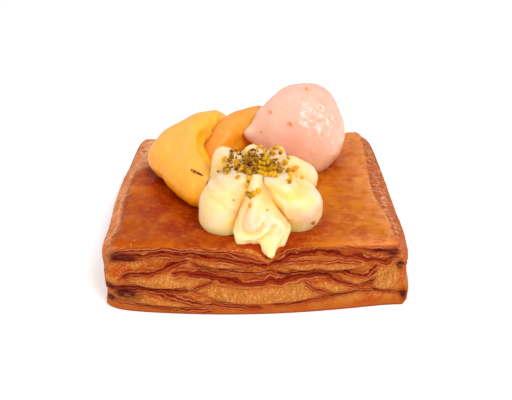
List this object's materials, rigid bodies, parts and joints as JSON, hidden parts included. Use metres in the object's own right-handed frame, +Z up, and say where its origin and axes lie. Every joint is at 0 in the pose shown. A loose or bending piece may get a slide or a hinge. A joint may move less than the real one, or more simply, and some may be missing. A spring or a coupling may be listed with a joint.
{
  "type": "fruit and cream pastry",
  "caption": "Square laminated pastry topped with two yellow peach segments, a round pink fruit and a piped cream rosette strewn with chopped nuts.",
  "frame": {"origin": "centre of the bounding box on the flat base, at the table", "axes": "+X to the right and +Z up as the piece is looked at from its front, which faces -Y"},
  "size_m": [0.1044, 0.107, 0.0531],
  "materials": {
    "dough_block": "baked laminated dough under a thin shiny glaze",
    "front_peach": "wet poached fruit flesh",
    "back_peach": "wet poached fruit flesh",
    "pink_fruit": "wet translucent poached fruit",
    "cream": "soft piped custard cream with chopped nuts on it"
  },
  "bodies": {
    "root": {"dough_block": "dough_block", "front_peach": "front_peach", "back_peach": "back_peach", "pink_fruit": "pink_fruit", "cream": "cream"}
  },
  "joints": []
}
